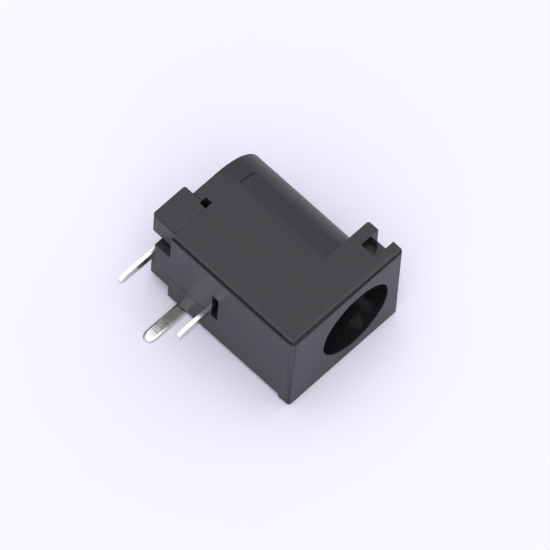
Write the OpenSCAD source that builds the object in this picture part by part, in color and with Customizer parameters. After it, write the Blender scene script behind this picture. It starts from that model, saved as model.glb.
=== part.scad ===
// DC barrel jack, right angle, through-hole, for plugs of 5.5 mm over 2.1 mm.
// Origin on the socket axis in the plane of the mouth.  +Y runs into the jack,
// -X points at the board, the switch tail is on the -Z flank.  Sizes in mm.

/* [Bezel plate] */
// Width of the plate, flank to flank
bezel_w = 9; // [8.6:0.1:9.4]
// Height of the plate, measured from the board
bezel_h = 11; // [10.5:0.1:11.5]
// Thickness of the plate
bezel_t = 1; // [0.7:0.05:1.3]
// Height of the socket axis over the board
axis_h = 6.5; // [6.2:0.1:6.8]
// Round on the edges of the front face
bezel_round = 0.28; // [0.1:0.02:0.5]
// Round on the front face's edge on the switch side
bezel_sill = 0.14; // [0.05:0.01:0.3]
// Round on the plate's two upper corners
bezel_corner = 0.1; // [0.05:0.01:0.3]
// Round on the plate's two corners at the board
bezel_foot = 0.28; // [0.1:0.02:0.4]

/* [Socket] */
// Radius of the socket bore
bore_r = 3.2; // [3.1:0.05:3.3]
// Depth of the socket bore
bore_depth = 10.3; // [9.5:0.1:10.6]
// Chamfer at the mouth of the bore
mouth_chamfer = 0.05; // [0.03:0.01:0.3]

/* [Body] */
// Half width of the body, axis to flank
body_half = 4.31; // [4.1:0.01:4.4]
// Depth at which the housing's lower part ends and the retainer begins
seam_y = 12.05; // [11.5:0.05:12.5]
// Depth of the rear face above the retainer
rear_y = 13.54; // [13.2:0.02:13.8]
// Round on the edge of the rear face
rear_round = 0.1; // [0.06:0.02:0.4]
// Depth of the witness slit on the crown's shoulder
slit_y = 11.84; // [11.5:0.02:12]
// Width of the witness slit
slit_w = 0.07; // [0.05:0.01:0.15]
// How deep the witness slit is cut
slit_in = 0.2; // [0.1:0.05:0.5]
// Start of the witness slit over the socket axis
slit_from = 0.2; // [0.1:0.1:0.8]
// End of the witness slit over the socket axis
slit_to = 1.75; // [1.5:0.05:2.2]
// How far the body stands off the board behind the plate
board_relief = 0.07; // [0.04:0.01:0.3]
// Drop of the crown's centre below the socket axis
crown_drop = 0.3; // [0:0.05:0.5]
// Round on the body's long board-side edges
body_round = 0.3; // [0.1:0.05:0.5]

/* [Latch notch] */
// Height of the notch floor over the socket axis
notch_x = 3.76; // [3.4:0.02:3.9]
// Depth at which the notch ends and the rib begins
notch_end = 2.46; // [2:0.02:2.8]
// Depth at which the rib ends
rib_end = 3.42; // [3:0.02:3.8]
// Height of the rib's top over the socket axis
rib_x = 4.48; // [4:0.01:4.5]
// Round on the rib's rear upper edge
rib_round = 0.25; // [0.05:0.05:0.4]
// Round on the rib's two upper corners
rib_corner = 0.06; // [0.04:0.01:0.2]
// Thickness of the web left between a side pocket and the notch floor
pocket_roof = 0.07; // [0.05:0.01:0.2]
// Height of the floor of the side pockets over the socket axis
pocket_x = 2.73; // [2.6:0.01:3.2]
// Depth of the pocket's slanted front wall at its floor
pocket_front = 1.18; // [1:0.01:1.3]
// Depth of the pocket's front wall where its slant steepens
pocket_knee = 1.44; // [1.3:0.01:1.6]
// Depth of the pocket's slanted front wall at the notch floor
pocket_lip = 1.8; // [1.6:0.05:2]
// How far the pockets are cored in from the flank
pocket_in = 1.9; // [1:0.1:1.9]

/* [Contact channel] */
// Half width of the channel under the bore
channel_half = 1.45; // [1.3:0.05:1.6]
// Drop of the channel floor below the socket axis
channel_drop = 4.75; // [4.5:0.05:5]
// Depth at which the channel starts
channel_y = 2.2; // [1.8:0.1:3]
// Depth of the front wall of the slot for the middle tail
slot_y = 7.25; // [7:0.05:7.4]
// Radial clearance of the sliding tongue in the channel
tongue_gap = 0.02; // [0.01:0.01:0.08]

/* [Retainer] */
// Depth of the rear face of the two cheeks
cheek_y = 14.33; // [14:0.01:14.5]
// Drop of the cheeks' top below the socket axis
cheek_drop = 2.75; // [2.5:0.05:3]
// Distance from the socket axis to the inner side of a cheek
cheek_in = 2.15; // [2:0.05:2.4]
// How far the cheeks stand off the board
cheek_relief = 0.51; // [0.4:0.01:0.7]
// Depth of the two troughs between the tongue and the cheeks
trough = 0.7; // [0.4:0.05:1]
// Hairline left between the retainer and the housing
joint_gap = 0.015; // [0.01:0.005:0.04]
// Round on the cheeks' rear upper edge
cheek_round = 0.22; // [0.1:0.02:0.4]
// Round on the cheeks' rear board-side edge
heel_round = 0.26; // [0.1:0.02:0.5]
// Round on the cheek's board-side edge away from the switch
foot_round = 0.12; // [0.05:0.01:0.3]
// Chamfer along the board-side edge on the switch side
foot_chamfer = 0.48; // [0.3:0.02:0.6]
// Length of the bevel on the rear corner on the switch side
bevel_len = 0.6; // [0.4:0.05:0.8]
// Width of the bevel on the rear corner on the switch side
bevel_in = 0.4; // [0.2:0.05:0.6]
// How far the corner relief reaches below the joint
relief_below = 0.27; // [0.2:0.01:0.4]
// How far the corner relief reaches above the joint
relief_above = 0.4; // [0.2:0.05:0.5]
// Length of the corner relief along the body
relief_len = 0.61; // [0.4:0.01:0.8]
// How far the corner relief is cored in from the flank
relief_in = 1.6; // [0.5:0.1:1.8]

/* [Centre pin] */
// Radius of the centre pin
pin_r = 1; // [0.95:0.01:1.05]
// Depth of the pin's tip behind the mouth
pin_y = 1.5; // [1.2:0.1:2.5]
// Radius of the collar that sits on the floor of the socket
collar_r = 1.6; // [1.3:0.1:1.9]
// Thickness of the collar
collar_t = 0.45; // [0.3:0.05:0.6]
// Radius of the shank pressed through the housing's rear wall
shank_r = 0.75; // [0.6:0.05:0.85]
// Radius of the tenon riveted over the strap
tenon_r = 0.5; // [0.4:0.05:0.6]
// Radius of the rivet head
head_r = 0.9; // [0.7:0.05:1]
// Thickness of the rivet head
head_t = 0.24; // [0.15:0.01:0.3]
// Radial clearance of the pressed shank and tenon
press_gap = 0.01; // [0.005:0.005:0.03]

/* [Contact strips] */
// Thickness of the plated strip
strip_t = 0.3; // [0.2:0.05:0.4]
// Width of the rear and the middle tail
tail_w = 0.8; // [0.6:0.05:1.2]
// Width of the side tail
side_w = 1; // [0.8:0.05:1.2]
// Reach of the rear tail below the board's top face
rear_len = 3.2; // [3:0.1:4]
// Reach of the middle tail below the board's top face
mid_len = 3.4; // [3:0.1:4]
// Reach of the side tail below the board's top face
side_len = 3.5; // [3:0.1:4]
// Length of the taper at a tail's tip
taper_len = 0.5; // [0.2:0.05:0.8]
// Width taken off each side of a tail at its tip
taper_in = 0.2; // [0.1:0.02:0.3]
// Depth of the middle tail behind the mouth
mid_tail_y = 7.7; // [7.6:0.05:7.8]
// Depth of the side tail behind the mouth
side_tail_y = 10.7; // [10.6:0.05:10.8]
// Radius of the eye the strap is riveted through
eye_r = 1.3; // [1.1:0.05:1.5]
// Width of the strap between the eye and its tail
strap_w = 1.6; // [1.2:0.1:2]
// Height over the board at which the strap narrows to its tail
strap_neck = 1; // [0.8:0.05:1.5]
// Width of the spring leaf in the channel
leaf_w = 2.4; // [2:0.1:2.6]
// Drop of the flat part of the leaf below the socket axis
leaf_drop = 4.2; // [4:0.05:4.4]
// Depth at which the leaf's two arms end
arm_end = 11; // [10.8:0.1:11.5]
// Half width of the gap between the arms
arm_gap = 0.6; // [0.55:0.05:0.8]
// Radial distance from the socket axis to the leaf's wiping crest
crest_drop = 2.62; // [2.5:0.02:2.75]
// Depth of the wiping crest behind the mouth
crest_y = 4.1; // [3.5:0.1:5]
// Length of the flat crest
crest_len = 0.5; // [0.2:0.1:1]
// Depth of the leaf's free end behind the mouth
leaf_end = 2.7; // [2.5:0.1:3]
// Drop of the leaf's free end below the socket axis
leaf_end_drop = 3.5; // [3.2:0.1:3.8]
// Clearance of the switch blade in its slot
blade_gap = 0.03; // [0.02:0.01:0.06]
// Distance from the middle tail to the knee where the leaf starts to rise
knee_len = 1.5; // [1:0.1:2]
// Distance from the socket axis to the end of the switch finger
finger_end = 0.75; // [0.65:0.05:0.9]
// How deep the housing's seat for the blade is sunk in the flank
seat_in = 0.11; // [0.06:0.01:0.15]

/* [Hidden] */
$fn = 96;
eps = 0.02;
board_x = -axis_h;
bezel_top = bezel_h - axis_h;
under_x = board_x + board_relief;
cheek_x = board_x + cheek_relief;
strap_back = rear_y + strip_t;
mid_back = mid_tail_y + strip_t / 2;
blade_in = -body_half + seat_in;
tongue_half = channel_half - tongue_gap;
arm_w = leaf_w / 2 - arm_gap;
arm_mid = arm_gap + arm_w / 2;
rail_end = side_tail_y - side_w;
plastic = [0.1, 0.1, 0.11];
tin = [0.85, 0.85, 0.84];

// extrude a profile drawn as (height over the axis, side) from y = from to y = to
module along_y(from, to) {
  translate([0, from, 0]) rotate([-90, 0, 0]) linear_extrude(to - from) children();
}

// extrude a plan drawn as (depth, side) from one height to another
module along_x(from, to) {
  translate([from, 0, 0]) rotate([90, 0, 90]) linear_extrude(to - from) children();
}

// round bar along the socket axis
module bar_y(r, from, to) {
  translate([0, from, 0]) rotate([-90, 0, 0]) cylinder(r = r, h = to - from);
}

// box given by its two corners
module box(low, high) {
  translate(low) cube(high - low);
}

// rectangle between two heights, with its own radius at the board side and at the top
module rounded_plate(low, high, half, r_low, r_high) {
  translate([low + r_low, -half]) square([high - low - r_low - r_high, 2 * half]);
  translate([low, -half + r_low]) square([2 * r_low, 2 * (half - r_low)]);
  translate([high - 2 * r_high, -half + r_high]) square([2 * r_high, 2 * (half - r_high)]);
  for (s = [-1, 1]) {
    translate([low + r_low, s * (half - r_low)]) circle(r_low, $fn = 32);
    translate([high - r_high, s * (half - r_high)]) circle(r_high, $fn = 32);
  }
}

// rectangle rounded at the board side only
module footed_plate(low, high, half, r) {
  translate([low + r, -half]) square([high - low - r, 2 * half]);
  translate([low, -half + r]) square([2 * r, 2 * (half - r)]);
  for (s = [-1, 1]) translate([low + r, s * (half - r)]) circle(r, $fn = 32);
}

// quarter-round corners of a rear edge, drawn as (distance from the axis, depth)
module rear_profile(from) {
  translate([0, from]) square([body_half - rear_round, rear_y - from]);
  translate([0, from]) square([body_half, rear_y - rear_round - from]);
  intersection() {
    translate([body_half - rear_round, rear_y - rear_round]) circle(rear_round, $fn = 32);
    translate([0, from]) square([body_half, rear_y - from]);
  }
}

// D-shaped barrel: foot up to the retainer, flanks and half-round crown up to the rear face
module barrel(from) {
  along_y(from, seam_y - joint_gap) footed_plate(under_x, -cheek_drop, body_half, body_round);
  along_x(-cheek_drop, -crown_drop) for (s = [0, 1]) mirror([0, s]) rotate(90) mirror([0, 1])
    rear_profile(from);
  intersection() {
    translate([-crown_drop, 0, 0]) rotate([-90, 0, 0]) rotate_extrude() rear_profile(from);
    box([-crown_drop, from - 1, -body_half - 1], [bezel_top, rear_y + 1, body_half + 1]);
  }
}

// stock to take off a straight edge that lies along z, corner at the origin, solid in +x +y
module edge_stock(r, len) {
  difference() {
    translate([-eps, -eps, -len / 2]) cube([r + eps, r + eps, len]);
    translate([r, r, -len / 2 - eps]) cylinder(r = r, h = len + 2 * eps, $fn = 32);
  }
}

module bezel() {
  difference() {
    along_y(0, bezel_t)
      rounded_plate(board_x, bezel_top, bezel_w / 2, bezel_foot, bezel_corner);
    translate([board_x, 0, 0]) edge_stock(bezel_round, 2 * bezel_w);
    translate([bezel_top, 0, 0]) mirror([1, 0, 0]) edge_stock(bezel_round, 2 * bezel_w);
    translate([0, 0, bezel_w / 2]) rotate([0, 90, 0]) edge_stock(bezel_round, 2 * bezel_h);
    translate([0, 0, -bezel_w / 2]) rotate([0, -90, 0]) edge_stock(bezel_sill, 2 * bezel_h);
  }
}

// cored pocket under the notch floor, open to the flank
module side_pocket() {
  roof = notch_x - pocket_roof;
  knee = roof - (pocket_lip - pocket_knee);
  translate([0, 0, body_half - pocket_in]) linear_extrude(pocket_in + eps)
    polygon([
      [roof, notch_end], [pocket_x, notch_end], [pocket_x, pocket_front], [knee, pocket_knee],
      [roof, pocket_lip]
    ]);
}

// relief cored where the retainer meets the flank and the barrel's underside
module corner_relief() {
  box([-cheek_drop - relief_below, seam_y, body_half - relief_in],
      [-cheek_drop + relief_above, seam_y + relief_len, body_half + eps]);
}

module housing() {
  blade_half = side_w / 2 + blade_gap;
  difference() {
    union() {
      bezel();
      along_y(bezel_t - eps, notch_end + eps) footed_plate(under_x, notch_x, body_half, body_round);
      difference() {
        along_y(notch_end, rib_end) rounded_plate(under_x, rib_x, body_half, body_round, rib_corner);
        translate([rib_x, rib_end, 0]) rotate(180) edge_stock(rib_round, 2 * bezel_w);
      }
      barrel(rib_end - eps);
    }
    bar_y(bore_r, -eps, bore_depth);
    translate([0, -eps, 0]) rotate([-90, 0, 0])
      cylinder(r1 = bore_r + mouth_chamfer + eps, r2 = bore_r, h = mouth_chamfer + eps);
    bar_y(shank_r + press_gap, bore_depth - eps, rear_y + eps);
    for (s = [0, 1]) mirror([0, 0, s]) {
      side_pocket();
      corner_relief();
    }
    // channel under the bore, open at the rear
    box([-channel_drop, channel_y, -channel_half], [-bore_r / 2, bore_depth, channel_half]);
    box([-channel_drop, bore_depth - eps, -channel_half], [-bore_r, seam_y + eps, channel_half]);
    // the tongue's way out to the board side
    box([board_x - eps, slot_y, -channel_half], [-channel_drop + eps, seam_y + eps, channel_half]);
    // seat and slot of the switch blade
    box([board_x - eps, side_tail_y - blade_half, -body_half - eps],
        [-leaf_drop + blade_gap, side_tail_y + blade_half, blade_in]);
    box([-leaf_drop - strip_t - blade_gap, side_tail_y - blade_half, -body_half],
        [-leaf_drop + blade_gap, side_tail_y + blade_half, -channel_half + eps]);
    // witness slit on the crown's shoulder
    difference() {
      box([slit_from, slit_y - slit_w / 2, 0], [slit_to, slit_y + slit_w / 2, body_half + eps]);
      translate([-crown_drop, 0, 0]) bar_y(body_half - slit_in, rib_end, rear_y);
    }
  }
}

// both cheeks and the web between them, with a bevelled corner and a chamfer on the switch side
module cheeks() {
  top = -cheek_drop - joint_gap;
  difference() {
    intersection() {
      along_x(cheek_x, top) polygon([
        [seam_y, -body_half], [cheek_y - bevel_len, -body_half], [cheek_y, -body_half + bevel_in],
        [cheek_y, body_half], [seam_y, body_half]
      ]);
      along_y(seam_y - 1, cheek_y + 1) {
        polygon([
          [top + 1, -body_half], [top + 1, body_half], [cheek_x + foot_chamfer, body_half],
          [cheek_x, body_half - foot_chamfer], [cheek_x, -body_half + foot_round],
          [cheek_x + foot_round, -body_half]
        ]);
        translate([cheek_x + foot_round, -body_half + foot_round]) circle(foot_round, $fn = 32);
      }
    }
    box([cheek_x - 1, rear_y, -cheek_in], [top + 1, cheek_y + 1, cheek_in]);
    box([cheek_x - 1, seam_y - 1, -cheek_in], [cheek_x + trough, cheek_y, cheek_in]);
    translate([top, cheek_y, 0]) rotate(180) edge_stock(cheek_round, 2 * bezel_w);
    translate([cheek_x, cheek_y, 0]) rotate(-90) edge_stock(heel_round, 2 * bezel_w);
    for (s = [0, 1]) mirror([0, 0, s]) corner_relief();
  }
}

module retainer() {
  cheeks();
  box([under_x, mid_back, -tongue_half], [-channel_drop, rear_y, tongue_half]);
  // rails that carry the arms of the spring leaf
  for (s = [-1, 1])
    box([-channel_drop - eps, mid_back, s * arm_mid - arm_w / 2],
        [-leaf_drop, rail_end, s * arm_mid + arm_w / 2]);
}

module centre_pin() {
  floor_y = bore_depth - pin_y;
  seat_y = rear_y - pin_y;
  translate([0, pin_y, 0]) rotate([-90, 0, 0]) rotate_extrude() {
    intersection() {
      translate([0, pin_r]) circle(pin_r);
      square([pin_r, pin_r]);
    }
    translate([0, pin_r - eps]) square([pin_r, floor_y - pin_r + eps]);
    translate([0, floor_y - collar_t]) square([collar_r, collar_t]);
    translate([0, floor_y - eps]) square([shank_r, seat_y - floor_y + eps]);
    translate([0, seat_y - eps]) square([tenon_r, strip_t + 2 * eps]);
    translate([0, seat_y + strip_t]) square([head_r, head_t]);
  }
}

// flat outline of a tail of one width, from its root down to its tapered tip
module tail_outline(root, width, reach) {
  tip = board_x - reach;
  polygon([
    [root, -width / 2], [tip + taper_len, -width / 2], [tip, -width / 2 + taper_in],
    [tip, width / 2 - taper_in], [tip + taper_len, width / 2], [root, width / 2]
  ]);
}

module tip_terminal() {
  neck = board_x + strap_neck;
  difference() {
    union() {
      along_y(rear_y, strap_back) tail_outline(neck + eps, tail_w, rear_len);
      along_y(rear_y, strap_back) translate([neck, -strap_w / 2]) square([-eye_r / 2 - neck, strap_w]);
      along_y(rear_y, strap_back) circle(eye_r);
    }
    bar_y(tenon_r + press_gap, rear_y - eps, strap_back + eps);
  }
}

// one straight run of strip between two points given as [depth, drop], seen from the flank
module run(a, b) {
  d = b - a;
  translate(a) rotate(atan2(d[1], d[0])) translate([0, -strip_t / 2]) square([norm(d), strip_t]);
  for (p = [a, b]) translate(p) circle(strip_t / 2, $fn = 24);
}

// spring leaf as seen from the flank, drawn with depth across and height up
module leaf_profile() {
  mid = leaf_drop - strip_t / 2;
  crest = crest_drop + strip_t / 2;
  knee = [mid_tail_y - knee_len, -mid + strip_t / 2];
  run([mid_tail_y, -mid], knee);
  run(knee, [crest_y + crest_len / 2, -crest]);
  run([crest_y + crest_len / 2, -crest], [crest_y - crest_len / 2, -crest]);
  run([crest_y - crest_len / 2, -crest], [leaf_end, -leaf_end_drop]);
}

module sleeve_contact() {
  translate([0, 0, -leaf_w / 2]) linear_extrude(leaf_w)
    rotate(90) mirror([0, 1]) leaf_profile();
  for (s = [-1, 1])
    box([-leaf_drop, mid_tail_y, s * arm_mid - arm_w / 2],
        [-leaf_drop + strip_t, arm_end, s * arm_mid + arm_w / 2]);
  along_y(mid_back - strip_t, mid_back) tail_outline(-leaf_drop + strip_t / 2, tail_w, mid_len);
}

module switch_contact() {
  translate([0, 0, blade_in - strip_t]) linear_extrude(strip_t) translate([0, side_tail_y])
    tail_outline(-leaf_drop, side_w, side_len);
  box([-leaf_drop - strip_t, side_tail_y - side_w / 2, blade_in - strip_t],
      [-leaf_drop, side_tail_y + side_w / 2, -finger_end]);
}

color(plastic) housing();
color(plastic) retainer();
color(tin) centre_pin();
color(tin) tip_terminal();
color(tin) sleeve_contact();
color(tin) switch_contact();
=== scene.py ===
import bpy
import math
from mathutils import Matrix, Vector


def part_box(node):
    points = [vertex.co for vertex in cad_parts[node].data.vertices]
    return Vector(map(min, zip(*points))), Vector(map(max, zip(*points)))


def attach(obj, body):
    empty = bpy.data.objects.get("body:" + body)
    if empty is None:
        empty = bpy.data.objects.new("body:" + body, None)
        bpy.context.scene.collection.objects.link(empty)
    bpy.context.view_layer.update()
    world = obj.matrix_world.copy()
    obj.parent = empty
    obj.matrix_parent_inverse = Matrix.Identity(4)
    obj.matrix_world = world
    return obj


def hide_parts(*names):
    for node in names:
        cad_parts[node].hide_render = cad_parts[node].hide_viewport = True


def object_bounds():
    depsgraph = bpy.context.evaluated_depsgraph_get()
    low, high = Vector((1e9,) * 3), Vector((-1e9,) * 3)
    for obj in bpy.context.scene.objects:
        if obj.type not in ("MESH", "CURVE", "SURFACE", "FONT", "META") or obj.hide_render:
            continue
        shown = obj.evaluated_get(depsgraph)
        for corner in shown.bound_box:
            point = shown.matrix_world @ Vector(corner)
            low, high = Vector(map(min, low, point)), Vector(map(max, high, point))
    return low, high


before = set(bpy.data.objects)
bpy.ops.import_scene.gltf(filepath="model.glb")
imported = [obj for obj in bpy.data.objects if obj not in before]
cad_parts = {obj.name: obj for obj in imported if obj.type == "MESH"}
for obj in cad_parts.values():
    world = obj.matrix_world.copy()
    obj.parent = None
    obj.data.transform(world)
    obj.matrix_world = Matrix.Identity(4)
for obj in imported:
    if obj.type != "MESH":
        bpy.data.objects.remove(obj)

cad_low, cad_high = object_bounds()


# ---- Camera ----------------------------------------------------------------
# A long lens looks down on the jack as it lies on its flank, over the mouth and
# the underside, and leans a few degrees.
MM = 0.001
camera_azimuth = math.radians(-49.38)
camera_elevation = math.radians(61.672)
camera_roll = math.radians(4.628)
camera_distance = 700.0 * MM
camera_aim = Vector((-1.0, 6.0, 0.0)) * MM
camera_slide = Vector((-0.6987, -0.0245)) * MM
focal_mm = 653.4

back = Vector((math.sin(camera_azimuth) * math.cos(camera_elevation),
               -math.cos(camera_azimuth) * math.cos(camera_elevation),
               math.sin(camera_elevation)))
level = Vector((math.cos(camera_azimuth), math.sin(camera_azimuth), 0.0))
upright = back.cross(level)
right = level * math.cos(camera_roll) + upright * math.sin(camera_roll)
up = upright * math.cos(camera_roll) - level * math.sin(camera_roll)
lens = bpy.data.cameras.new("long_lens")
lens.sensor_width = 36.0
lens.lens = focal_mm
lens.clip_start = 0.01
lens.clip_end = 10.0
camera = bpy.data.objects.new("camera", lens)
bpy.context.scene.collection.objects.link(camera)
place = camera_aim + back * camera_distance + right * camera_slide.x + up * camera_slide.y
camera.matrix_world = Matrix((
    (right.x, up.x, back.x, place.x),
    (right.y, up.y, back.y, place.y),
    (right.z, up.z, back.z, place.z),
    (0.0, 0.0, 0.0, 1.0)))
bpy.context.scene.camera = camera


# ---- Table -----------------------------------------------------------------
# A seamless sheet of uncoated white paper, far wider than the view, so that it
# shows nothing but the jack's own soft shadow.
def colour(code):
    """sRGB hex code to linear RGBA."""
    value = [int(code[i:i + 2], 16) / 255 for i in (1, 3, 5)]
    return [v / 12.92 if v <= 0.04045 else ((v + 0.055) / 1.055) ** 2.4 for v in value] + [1.0]


def add(tree, kind, links=None, **settings):
    """One node with its settings; links maps an input to the socket that feeds it."""
    made = tree.nodes.new(kind)
    for key, value in settings.items():
        if hasattr(made, key):
            setattr(made, key, value)
        else:
            made.inputs[key.replace("_", " ")].default_value = value
    for key, source in (links or {}).items():
        tree.links.new(source, made.inputs[key])
    return made


def blank(name):
    """A new material and its empty node tree."""
    made = bpy.data.materials.new(name)
    made.use_nodes = True
    made.node_tree.nodes.clear()
    return made, made.node_tree


table_width = 600.0 * MM
table_gap = 0.01 * MM
# paper fibres, about 1 mm long
paper_fibres_per_mm = 0.9

bpy.ops.object.select_all(action="DESELECT")
bpy.ops.mesh.primitive_plane_add(size=table_width, location=(0, 0, cad_low.z - table_gap))
table = bpy.context.object
table.name = "table"
bpy.ops.object.transform_apply(location=True, rotation=True, scale=True)
# without gloss the paper stays an even, slightly cool white up to the shadow's edge
paper, tree = blank("matt_white_paper")
grain = add(tree, "ShaderNodeTexNoise", Scale=paper_fibres_per_mm / MM, Detail=3.0,
            links={"Vector": add(tree, "ShaderNodeTexCoord").outputs["Object"]})
bump = add(tree, "ShaderNodeBump", Strength=0.02, Distance=0.1 * MM, links={"Height": grain.outputs["Fac"]})
sheet = add(tree, "ShaderNodeBsdfPrincipled", Base_Color=colour("#dcdbeb"), Roughness=0.9,
            Specular_IOR_Level=0.0, links={"Normal": bump.outputs["Normal"]})
add(tree, "ShaderNodeOutputMaterial", links={"Surface": sheet.outputs["BSDF"]})
table.data.materials.append(paper)


# ---- Light tent ------------------------------------------------------------
# White cloth lit from outside hangs all round and over the jack: brightest right
# above, dim low down except on the crown's side, where it draws the long highlight.
tent_strength = 2.6
cloth_levels = ((0.0, 0.15), (0.3, 0.26), (0.5, 0.36), (0.7, 0.43), (0.86, 0.46), (0.92, 0.98), (1.0, 1.0))
card_direction = (-0.6, -0.45, 0.66)
card_strength = 0.55

tent = bpy.data.worlds.new("light_tent")
bpy.context.scene.world = tent
tent.use_nodes = True
tree = tent.node_tree
tree.nodes.clear()
toward = add(tree, "ShaderNodeTexCoord").outputs["Generated"]
height = add(tree, "ShaderNodeSeparateXYZ", links={"Vector": toward})
cloth = add(tree, "ShaderNodeValToRGB", links={"Fac": height.outputs["Z"]})
cloth.color_ramp.interpolation = "EASE"
stops = cloth.color_ramp.elements
for rise, glow in cloth_levels:
    stop = stops[0] if rise == 0.0 else stops[-1] if rise == 1.0 else stops.new(rise)
    stop.color = (glow, glow, glow, 1.0)
crown_side = add(tree, "ShaderNodeMapRange", interpolation_type="SMOOTHSTEP", From_Min=0.3, From_Max=0.8,
                 To_Min=0.25, To_Max=1.0, links={"Value": height.outputs["X"]})
high_up = add(tree, "ShaderNodeMapRange", interpolation_type="SMOOTHSTEP", From_Min=0.5, From_Max=0.86,
              links={"Value": height.outputs["Z"]})
open_part = add(tree, "ShaderNodeMath", operation="MAXIMUM", links={
    0: crown_side.outputs["Result"], 1: high_up.outputs["Result"]})
lit_cloth = add(tree, "ShaderNodeMath", operation="MULTIPLY", links={
    0: cloth.outputs["Color"], 1: open_part.outputs["Value"]})
# a white card on the board side fills the shadow
facing_card = add(tree, "ShaderNodeVectorMath", operation="DOT_PRODUCT", links={0: toward})
facing_card.inputs[1].default_value = card_direction
card = add(tree, "ShaderNodeMapRange", interpolation_type="SMOOTHSTEP", From_Min=0.72, From_Max=0.95,
           To_Min=0.0, To_Max=card_strength, links={"Value": facing_card.outputs["Value"]})
cloth_and_card = add(tree, "ShaderNodeMath", operation="ADD", links={
    0: lit_cloth.outputs["Value"], 1: card.outputs["Result"]})
power = add(tree, "ShaderNodeMath", operation="MULTIPLY", links={0: cloth_and_card.outputs["Value"]})
power.inputs[1].default_value = tent_strength
above = add(tree, "ShaderNodeBackground", Color=colour("#ffffff"),
            links={"Strength": power.outputs["Value"]})
# past the table's edge, below the horizon, lies more of the paper
beyond = add(tree, "ShaderNodeBackground", Color=colour("#f6f4ff"), Strength=1.0)
low = add(tree, "ShaderNodeMath", operation="LESS_THAN", links={0: height.outputs["Z"]})
low.inputs[1].default_value = 0.0
surround = add(tree, "ShaderNodeMixShader", links={
    0: low.outputs["Value"], 1: above.outputs["Background"], 2: beyond.outputs["Background"]})
add(tree, "ShaderNodeOutputWorld", links={"Surface": surround.outputs["Shader"]})


# ---- Housing ---------------------------------------------------------------
# Bezel, socket barrel and latch notch in one shell of black glass-filled PBT. It is
# injection moulded in a spark-eroded tool, round a polished core pin for the bore.
def moulded_pbt(name, dark, light, low, high):
    """Black glass-filled PBT between two tints, its roughness wandering from low to high."""
    # real fibre marks are about 0.05 mm, drawn three times coarser so that they show
    fibre_marks_per_mm = 6.5
    # flow marks, 2 to 4 mm across
    flow_marks_per_mm = 0.32
    made, tree = blank(name)
    at = add(tree, "ShaderNodeTexCoord").outputs["Object"]
    speckle = add(tree, "ShaderNodeTexNoise", Scale=fibre_marks_per_mm / MM, Detail=3.0, Roughness=0.6,
                  links={"Vector": at})
    flow = add(tree, "ShaderNodeTexNoise", Scale=flow_marks_per_mm / MM, Detail=2.0, links={"Vector": at})
    gloss = add(tree, "ShaderNodeMapRange", To_Min=low, To_Max=high, links={"Value": flow.outputs["Fac"]})
    spot = add(tree, "ShaderNodeMapRange", From_Min=0.3, From_Max=0.7,
               links={"Value": speckle.outputs["Fac"]})
    tint = add(tree, "ShaderNodeMix", data_type="RGBA", links={"Factor": spot.outputs["Result"]})
    tint.inputs[6].default_value = colour(dark)
    tint.inputs[7].default_value = colour(light)
    relief = add(tree, "ShaderNodeBump", Strength=0.25, Distance=0.02 * MM,
                 links={"Height": speckle.outputs["Fac"]})
    skin = add(tree, "ShaderNodeBsdfPrincipled", IOR=1.4, links={
        "Base Color": tint.outputs[2], "Roughness": gloss.outputs["Result"],
        "Normal": relief.outputs["Normal"]})
    add(tree, "ShaderNodeOutputMaterial", links={"Surface": skin.outputs["BSDF"]})
    return made


# the eroded tool leaves a satin skin, which gives each face one soft, even dark grey
satin_pbt = moulded_pbt("spark_finished_black_pbt", "#1f1f23", "#2c2b31", 0.39, 0.46)
# a polished core or a rubbed edge is glossy, with narrow highlights; its darker tint is painted shade, deep
# in the bore and as a dark band on the rounds
glossy_pbt_painted_shade = moulded_pbt("polished_pbt_painted_shade", "#151518", "#1f1e21", 0.12, 0.18)


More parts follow.
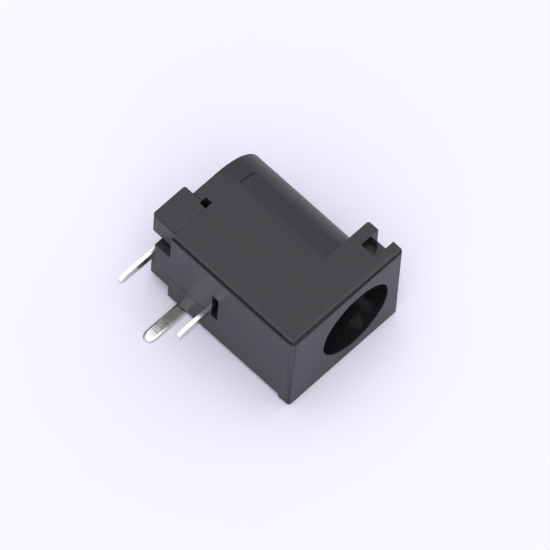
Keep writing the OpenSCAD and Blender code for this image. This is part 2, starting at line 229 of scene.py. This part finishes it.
def dressed(node, name, materials, smooth=32.0, reshape=None, easing=None, finish=None):
    """
    A merged copy of a solid that stands for it, with flat faces and smooth rounds.
    reshape moves a point in mm, easing is a test for edges and the width to round them
    by, and finish picks a face's material.
    """
    weld = 0.002 * MM
    coplanar_angle = math.radians(0.4)
    corner_angle = math.radians(40.0)
    piece = bpy.data.objects.new(name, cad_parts[node].data.copy())
    bpy.context.scene.collection.objects.link(piece)
    bpy.ops.object.select_all(action="DESELECT")
    piece.select_set(True)
    bpy.context.view_layer.objects.active = piece
    mesh = piece.data
    mesh.materials.clear()
    for material in materials:
        mesh.materials.append(material)
    bpy.ops.object.mode_set(mode="EDIT")
    bpy.ops.mesh.select_mode(type="EDGE")
    bpy.ops.mesh.select_all(action="SELECT")
    bpy.ops.mesh.remove_doubles(threshold=weld)
    bpy.ops.mesh.dissolve_limited(angle_limit=coplanar_angle)
    bpy.ops.object.mode_set(mode="OBJECT")
    if reshape:
        for vertex in mesh.vertices:
            vertex.co = reshape(vertex.co / MM) * MM
    bpy.ops.object.mode_set(mode="EDIT")
    if easing:
        test, width = easing
        bpy.ops.mesh.select_all(action="DESELECT")
        bpy.ops.mesh.edges_select_sharp(sharpness=corner_angle)
        bpy.ops.object.mode_set(mode="OBJECT")
        for edge in mesh.edges:
            start, end = (mesh.vertices[i].co / MM for i in edge.vertices)
            edge.select = edge.select and test(start, end)
        bpy.ops.object.mode_set(mode="EDIT")
        bpy.ops.mesh.bevel(offset=width * MM, segments=2, affect="EDGES", clamp_overlap=False)
    bpy.ops.mesh.select_all(action="DESELECT")
    bpy.ops.mesh.edges_select_sharp(sharpness=math.radians(smooth))
    bpy.ops.mesh.mark_sharp()
    bpy.ops.object.mode_set(mode="OBJECT")
    if finish:
        for face in mesh.polygons:
            face.material_index = finish(face.center / MM, face.normal)
    bpy.ops.object.shade_smooth(keep_sharp_edges=True)
    flat = piece.modifiers.new("flat_faces", "WEIGHTED_NORMAL")
    flat.keep_sharp = True
    flat.weight = 100
    bpy.ops.object.modifier_apply(modifier=flat.name)
    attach(piece, "root")
    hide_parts(node)


# The tool is worn, so the plate's front rounds and the body's long round have grown
# about their own corners.  The pocket in the near flank is cored less deep than drawn.
housing_low, housing_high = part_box("housing")
plate_low = housing_low.x / MM
plate_flank = housing_high.z / MM
plate_round = 0.281
plate_growth = 1.5
body_low = plate_low + 0.07
body_flank = plate_flank - 0.19
body_front = 0.99
body_round = 0.301
body_growth = 1.15
pocket_floor = body_flank - 1.9
pocket_lift = 1.0
hair = 0.001


def worn_housing(at):
    """Widens the rounds about their corners and lifts the floor of the side pocket."""
    x, y, z = at
    at_board = x < plate_low + plate_round
    at_flank = abs(z) > plate_flank - plate_round
    if y < plate_round and (at_board or at_flank):
        y *= plate_growth
        if at_board:
            x = plate_low + (x - plate_low) * plate_growth
        if at_flank:
            z = math.copysign(plate_flank - (plate_flank - abs(z)) * plate_growth, z)
    under_body = body_low - hair < x < body_low + body_round
    beside_body = body_flank - body_round < z < body_flank + hair
    if y > body_front and under_body and beside_body:
        x = body_low + (x - body_low) * body_growth
        z = body_flank - (body_flank - z) * body_growth
    if abs(z - pocket_floor) < 10 * hair:
        z += pocket_lift
    return Vector((x, y, z))


# what the core pin formed lies within its radius and its end, off the socket's floor
core_radius = 3.25
core_end = 10.4
floor_normal = 0.9
# rounds are rubbed glossy on the plate and low on the body, where they face the flanks, and there they
# carry a painted dark band of shade
shaded_rub_front = 1.05
shaded_rub_low = -4.0
flat_normal = 0.998
flank_normal = 0.15


def gloss_and_painted_shade(centre, normal):
    """1, glossy and tinted darker as painted shade, on what the core pin formed and on the rounds that
    handling rubs, or else 0.
    """
    in_socket = math.hypot(centre.x, centre.z) < core_radius and centre.y < core_end
    cored = in_socket and abs(normal.y) < floor_normal
    rounded = max(abs(normal.x), abs(normal.y), abs(normal.z)) < flat_normal
    rubbed_and_shaded = abs(normal.z) > flank_normal and (centre.y < shaded_rub_front or centre.x < shaded_rub_low)
    return int(cored or (rounded and rubbed_and_shaded))


# the glossy faces carry a darker tint that paints shade in the bore and on the rounds
dressed("housing", "housing_moulding", (satin_pbt, glossy_pbt_painted_shade),
        reshape=worn_housing, finish=gloss_and_painted_shade)


# ---- Retainer --------------------------------------------------------------
# A second moulding in the same PBT.  Its tongue slides into the channel under the
# housing from behind, holds the strips down, and sits against one side of the channel.
joint_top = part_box("retainer")[1].x / MM
joint_opening = 0.03
tongue_side = 1.43
pressed_side = 1.449
loose_side = 1.39


def worn_retainer(at):
    """Opens the long joint line a little and presses the tongue to one side."""
    x, y, z = at
    if x > joint_top - 4 * hair:
        x -= joint_opening
    if abs(z - tongue_side) < 3 * hair:
        z = pressed_side
    if abs(z + tongue_side) < 3 * hair:
        z = -loose_side
    return Vector((x, y, z))


# its glossy faces get the same darker tint that paints shade
dressed("retainer", "retainer_moulding", (satin_pbt, glossy_pbt_painted_shade),
        reshape=worn_retainer, finish=gloss_and_painted_shade)


# ---- Centre pin ------------------------------------------------------------
# Turned from brass rod and nickel plated, with a collar that sits on the floor of
# the socket and a tenon riveted over the strap behind the housing.
def bright_plate(name, code, low, high, ripple):
    """Plated brass of one tint, its roughness in lines from low to high, rippled along them."""
    # the real lines are finer than 0.02 mm, drawn 0.1 mm apart and 1 mm long so that they show
    lines_per_mm = 9.0
    line_ends_per_mm = 0.9
    made, tree = blank(name)
    at = add(tree, "ShaderNodeTexCoord").outputs["Object"]
    stretched = add(tree, "ShaderNodeMapping", links={"Vector": at})
    stretched.inputs["Scale"].default_value = (lines_per_mm / MM, line_ends_per_mm / MM, lines_per_mm / MM)
    lines = add(tree, "ShaderNodeTexNoise", Scale=1.0, Detail=3.0, Roughness=0.6,
                links={"Vector": stretched.outputs["Vector"]})
    gloss = add(tree, "ShaderNodeMapRange", From_Min=0.3, From_Max=0.7, To_Min=low, To_Max=high,
                links={"Value": lines.outputs["Fac"]})
    relief = add(tree, "ShaderNodeBump", Strength=ripple, Distance=0.01 * MM,
                 links={"Height": lines.outputs["Fac"]})
    plate = add(tree, "ShaderNodeBsdfPrincipled", Base_Color=colour(code), Metallic=1.0, links={
        "Roughness": gloss.outputs["Result"], "Normal": relief.outputs["Normal"]})
    add(tree, "ShaderNodeOutputMaterial", links={"Surface": plate.outputs["BSDF"]})
    return made


# nickel over a smooth turned face is a warm, nearly clean mirror
bright_nickel = bright_plate("bright_nickel_plate", "#cfcac0", 0.08, 0.16, 0.05)

dressed("centre_pin", "turned_centre_pin", (bright_nickel,))


# ---- Tip terminal ----------------------------------------------------------
# A flat strap stamped from tinned brass strip.  Its eye is riveted on the pin's
# tenon behind the housing, and its lower end is the rear tail.
strip_smoothing = 20.0

# bright tin on rolled strip is a pale mirror, streaked and rippled by the rolling lines
rolled_tin = bright_plate("rolled_tin_plate", "#d9d9d6", 0.1, 0.26, 0.3)

dressed("tip_terminal", "riveted_strap", (rolled_tin,), smooth=strip_smoothing)


# ---- Sleeve contact --------------------------------------------------------
# A spring leaf folded up from tinned strip, which wipes the plug's sleeve from below.
# It drops into the channel from behind, with its tail down through the housing's floor.

# where the strip was formed its lines are smoothed out, so the mirror is cleaner
formed_tin = bright_plate("formed_tin_plate", "#d9d9d6", 0.1, 0.2, 0.08)

dressed("sleeve_contact", "sleeve_spring", (formed_tin,), smooth=strip_smoothing)


# ---- Switch contact --------------------------------------------------------
# A flat blade stamped from the same tinned strip as the strap, pushed into its seat on
# the far flank.  A finger goes under the spring leaf, and the other end is the side tail.
blade_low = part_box("switch_contact")[0] / MM
strip_thickness = 0.3
taper_length = 0.5
tip_easing = 0.17
inner_face = blade_low.z + strip_thickness
taper_start = blade_low.x + taper_length


def tip_edge(start, end):
    """Whether an edge lies round the tail's tip, on the face towards the body, eased by the die."""
    on_inner_face = max(abs(start.z - inner_face), abs(end.z - inner_face)) < 10 * hair
    return on_inner_face and max(start.x, end.x) < taper_start + 10 * hair


dressed("switch_contact", "switch_blade", (rolled_tin,), smooth=strip_smoothing,
        easing=(tip_edge, tip_easing))


# ---- Colour view -----------------------------------------------------------
# The jack and its table are complete, so their colours are shown as they are.
bpy.context.scene.view_settings.view_transform = "Standard"
